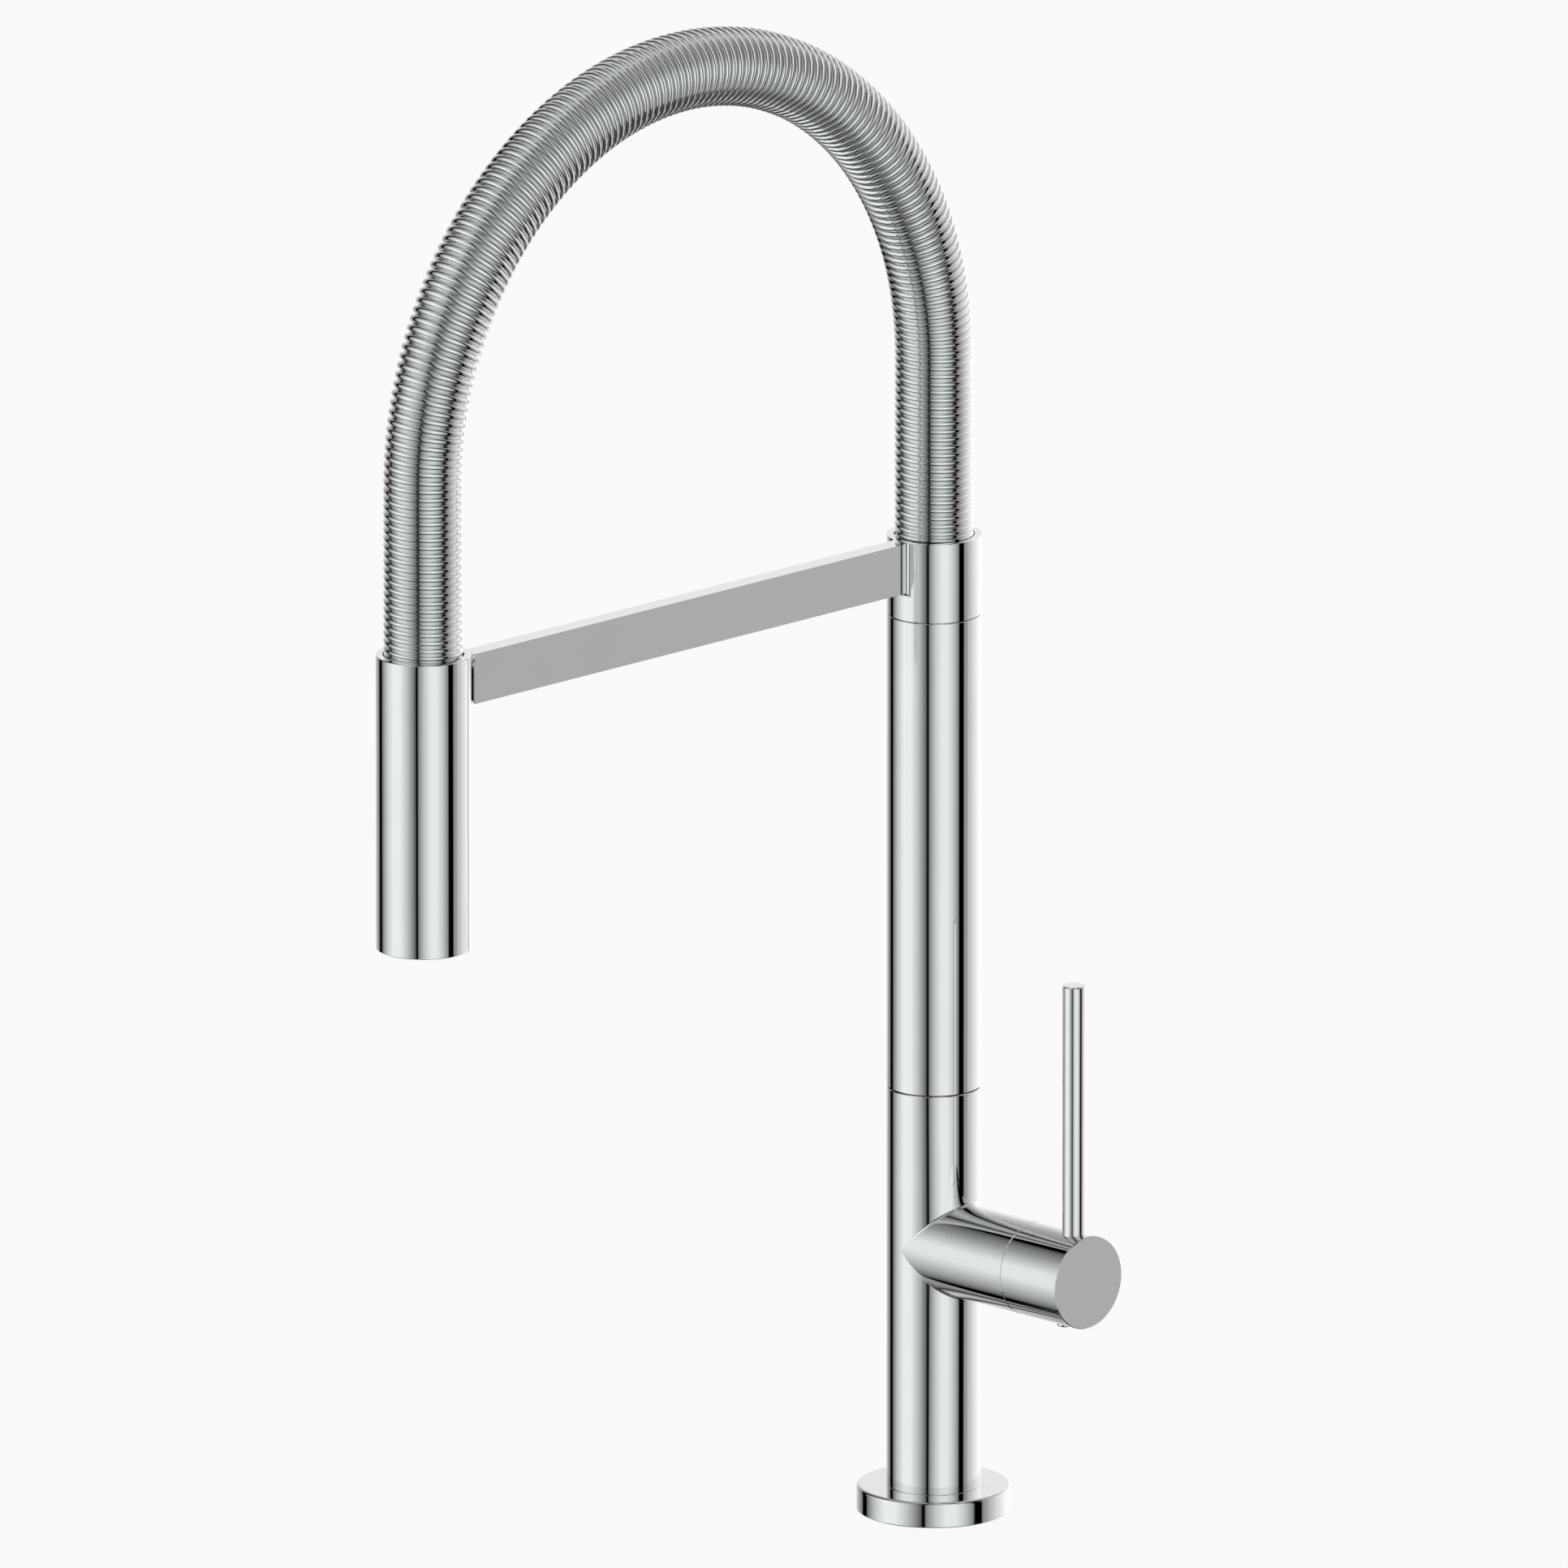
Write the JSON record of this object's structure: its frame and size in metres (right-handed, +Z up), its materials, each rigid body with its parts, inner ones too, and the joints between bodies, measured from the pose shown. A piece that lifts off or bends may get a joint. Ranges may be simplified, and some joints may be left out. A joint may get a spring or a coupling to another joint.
{
  "type": "pull down kitchen faucet",
  "caption": "Slim column kitchen mixer tap with a side pin lever, a spring arch over an inner hose and a pull down spray head docked on a flat magnetic arm.",
  "frame": {"origin": "centre of the base flange on the deck face", "axes": "+Z up along the column, -Y towards the spray head, +X along the lever branch"},
  "size_m": [0.0933, 0.2662, 0.5025],
  "materials": {
    "chrome": "mirror polished chrome plate",
    "spring_chrome": "polished chrome plated spring wire",
    "brass": "machined",
    "copper": "drawn copper tube",
    "steel": "plain stainless steel",
    "magnet": "nickel plated magnet",
    "rubber": "black rubber",
    "hose_black": "satin black hose cover",
    "ceramic": "polished alumina ceramic",
    "plastic_white": "natural acetal",
    "plastic_grey": "moulded grey plastic",
    "plastic_black": "moulded black plastic"
  },
  "bodies": {
    "base": {"base_flange": "chrome", "flange_gasket": "rubber", "valve_body": "chrome", "side_branch": "chrome", "inlet_manifold": "brass", "manifold_seal": "rubber", "hot_feed_tube": "copper", "cold_feed_tube": "copper", "cartridge_seat": "brass", "cartridge_seals": "rubber", "cartridge_base": "plastic_white", "fixed_disc": "ceramic", "cartridge_housing": "plastic_grey", "cartridge_nut": "brass", "branch_dome": "chrome", "swivel_retaining_screw": "steel"},
    "rotor": {"cartridge_rotor": "plastic_white", "stem_pivot_pin": "steel"},
    "ceramic": {"moving_disc": "ceramic", "disc_carrier": "plastic_white"},
    "handle": {"lever_stem": "steel", "handle_hub": "brass", "handle_cap": "chrome", "lever_pin": "chrome", "grub_screw": "steel", "screw_plug": "chrome"},
    "spout": {"swivel_spigot": "brass", "spigot_o_rings": "rubber", "slip_ring": "plastic_white", "swivel_tube": "chrome", "riser_pipe": "steel", "holder_collar": "chrome", "docking_arm": "chrome", "arm_screw": "steel", "dock_magnet": "magnet", "hose_nipple": "brass", "hose_washer_lower": "rubber", "hose_nut_lower": "brass", "hose_ferrule_lower": "steel", "spring_seat_lower": "plastic_grey", "coil_spring": "spring_chrome", "inner_hose": "hose_black"},
    "hose_end": {"hose_ferrule_upper": "steel", "spring_seat_upper": "plastic_grey"},
    "head": {"head_shell": "chrome", "dock_pad": "chrome", "dock_keeper": "steel", "hose_nut_upper": "brass", "hose_washer_upper": "rubber", "filter_screen": "steel", "head_core": "plastic_black", "check_valve_body": "plastic_grey", "check_spring": "steel", "aerator_housing": "chrome", "aerator_insert": "plastic_white", "aerator_screen": "plastic_black", "aerator_seal": "rubber"},
    "poppet": {"check_poppet": "plastic_white"}
  },
  "joints": [
    {"name": "spout_swivel", "type": "hinge", "parent": "base", "child": "spout", "pos_m": [0, 0, 0.1389], "axis": [0, 0, 1], "continuous": true},
    {"name": "temperature_turn", "type": "hinge", "parent": "base", "child": "rotor", "pos_m": [0.03235, 0, 0.0873], "axis": [1, 0, 0], "range_deg": [-50, 50]},
    {"name": "flow_tilt", "type": "hinge", "parent": "rotor", "child": "handle", "pos_m": [0.03235, 0, 0.0873], "axis": [0, 1, 0], "range_deg": [0, 22]},
    {"name": "disc_slide", "type": "slide", "parent": "rotor", "child": "ceramic", "axis": [0, 0, 1], "range_m": [0, 0.0031]},
    {"name": "head_pull", "type": "slide", "parent": "spout", "child": "hose_end", "axis": [0, 0, -1], "range_m": [0, 0.15], "stiffness_N_per_m": 60, "springref_m": -0.1, "deforming": ["coil_spring", "inner_hose"]},
    {"name": "head_swivel", "type": "hinge", "parent": "hose_end", "child": "head", "pos_m": [0, -0.2267, 0.3], "axis": [0, 0, 1], "continuous": true},
    {"name": "check_open", "type": "slide", "parent": "head", "child": "poppet", "axis": [0, 0, -1], "range_m": [0, 0.0015], "stiffness_N_per_m": 60, "springref_m": -0.002, "deforming": ["check_spring"]}
  ],
  "couplings": [
    {"joint": "disc_slide", "follows": "flow_tilt", "m_per_rad": 0.0078}
  ]
}
